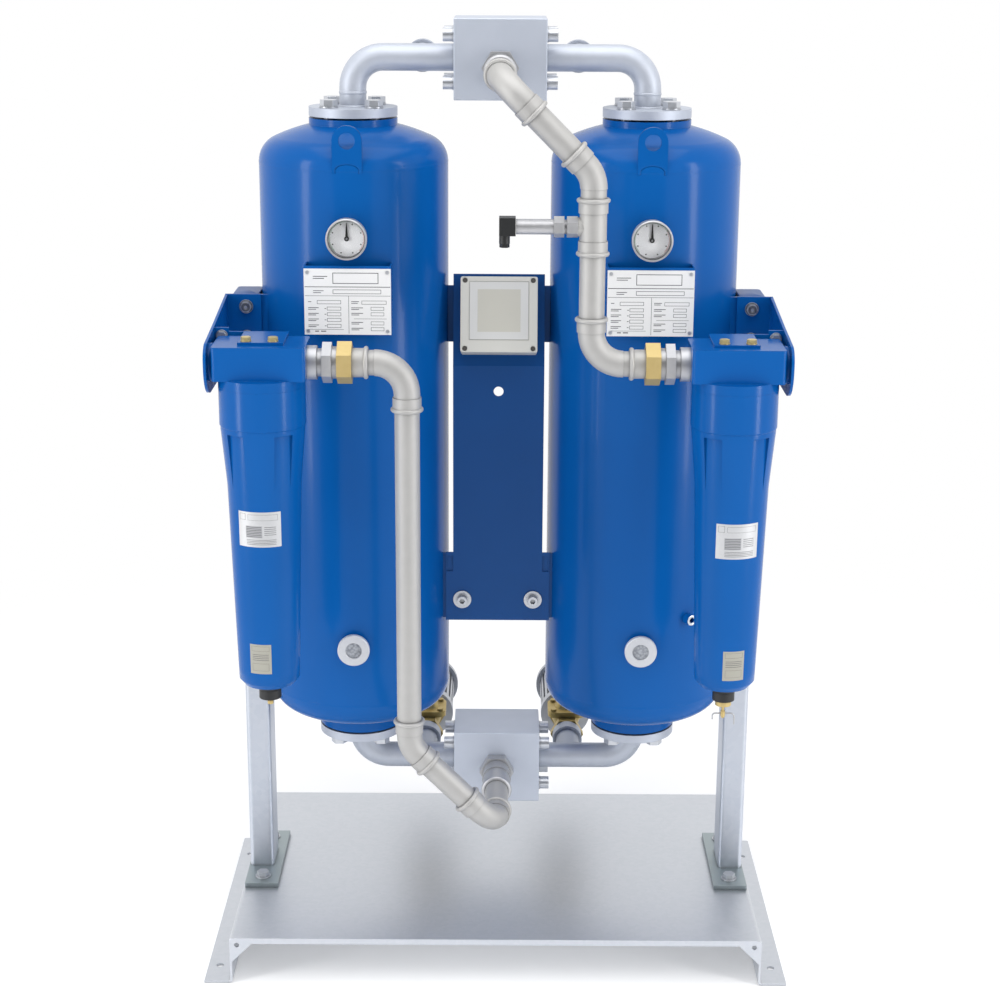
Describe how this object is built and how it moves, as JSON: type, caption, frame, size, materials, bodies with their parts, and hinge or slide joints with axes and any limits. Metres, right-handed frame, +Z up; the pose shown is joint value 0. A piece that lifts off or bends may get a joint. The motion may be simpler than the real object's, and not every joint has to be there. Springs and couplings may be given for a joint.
{
  "type": "desiccant air dryer",
  "caption": "Twin-tower desiccant dryer for compressed air with inlet and outlet filters, valve blocks and press-fitted pipework on a folded steel stand.",
  "frame": {"origin": "centre of the four floor anchor holes, on the floor", "axes": "+Z up, +X from the inlet filter to the outlet filter, front towards -Y"},
  "size_m": [0.942, 0.694, 1.512],
  "materials": {
    "blue_paint": "smooth powder coat",
    "galvanised_sheet": "hot-dip galvanised, matt",
    "galvanised_tube": "galvanised tube",
    "zinc_steel": "zinc plated",
    "press_steel": "drawn stainless, dull",
    "bright_steel": "machined, bright",
    "yellow_zinc": "yellow zinc plated",
    "block_aluminium": "milled, natural",
    "raw_brass": "machined brass",
    "black_plastic": "moulded, matt",
    "enclosure_plastic": "light grey moulded ABS",
    "overlay_film": "printed polyester overlay",
    "clear_glass": "polished",
    "dial_white": "satin enamel",
    "label_aluminium": "anodised plate",
    "gasket_fibre": "pressed fibre",
    "desiccant": "loose beads",
    "filter_media": "pleated media",
    "needle_black": "black enamel",
    "silencer_steel": "ribbed, plated"
  },
  "bodies": {
    "stand": {"base_frame": "galvanised_sheet", "bed_screens": "bright_steel", "block_screws": "zinc_steel", "centre_panel": "blue_paint", "controller_case": "enclosure_plastic", "controller_panel": "overlay_film", "controller_screws": "bright_steel", "desiccant_beds": "desiccant", "downpipe_elbows": "press_steel", "drain_nipple": "raw_brass", "drain_nuts": "black_plastic", "drain_stem": "raw_brass", "exhaust_caps": "bright_steel", "exhaust_valves": "raw_brass", "filter_bowl_left": "blue_paint", "filter_bowl_right": "blue_paint", "filter_bracket_left": "blue_paint", "filter_bracket_right": "blue_paint", "filter_elements": "filter_media", "filter_head_left": "blue_paint", "filter_head_right": "blue_paint", "flange_bolts": "zinc_steel", "flange_gaskets": "gasket_fibre", "frame_bolts": "zinc_steel", "gauge_cases": "bright_steel", "gauge_dials": "dial_white", "gauge_lenses": "clear_glass", "head_bolts": "yellow_zinc", "lifting_lugs": "blue_paint", "lower_pipe_left": "zinc_steel", "lower_pipe_right": "zinc_steel", "lower_valve_block": "block_aluminium", "nameplate_rivets": "bright_steel", "nameplates": "label_aluminium", "panel_bolts": "zinc_steel", "panel_crossbars": "blue_paint", "port_adapters": "press_steel", "post_left": "galvanised_tube", "post_right": "galvanised_tube", "press_tubes": "press_steel", "riser_elbows": "press_steel", "riser_tee": "press_steel", "sensor_body": "bright_steel", "sensor_plug": "black_plastic", "sight_glass_rings": "bright_steel", "sight_glasses": "clear_glass", "silencers": "silencer_steel", "tower_left": "blue_paint", "tower_right": "blue_paint", "union_bodies": "bright_steel", "union_nuts": "raw_brass", "union_tails": "press_steel", "upper_pipe_left": "zinc_steel", "upper_pipe_right": "zinc_steel", "upper_valve_block": "block_aluminium"},
    "upper_shuttle": {"upper_shuttle": "bright_steel"},
    "lower_shuttle": {"lower_shuttle": "bright_steel"},
    "gauge_pointer_left": {"gauge_pointer_left": "needle_black"},
    "gauge_pointer_right": {"gauge_pointer_right": "needle_black"},
    "drain_lever": {"drain_lever": "bright_steel"}
  },
  "joints": [
    {"name": "upper_shuttle_slide", "type": "slide", "parent": "stand", "child": "upper_shuttle", "axis": [1, 0, 0], "range_m": [-0.014, 0.014]},
    {"name": "lower_shuttle_slide", "type": "slide", "parent": "stand", "child": "lower_shuttle", "axis": [1, 0, 0], "range_m": [-0.014, 0.014]},
    {"name": "gauge_pointer_left_turn", "type": "hinge", "parent": "stand", "child": "gauge_pointer_left", "pos_m": [-0.232, -0.13, 1.19], "axis": [0, 1, 0], "range_deg": [-135, 135]},
    {"name": "gauge_pointer_right_turn", "type": "hinge", "parent": "stand", "child": "gauge_pointer_right", "pos_m": [0.232, -0.13, 1.19], "axis": [0, 1, 0], "range_deg": [-135, 135]},
    {"name": "drain_lever_swing", "type": "hinge", "parent": "stand", "child": "drain_lever", "pos_m": [0.3535, -0.238, 0.465], "axis": [1, 0, 0], "range_deg": [-80, 80]}
  ]
}
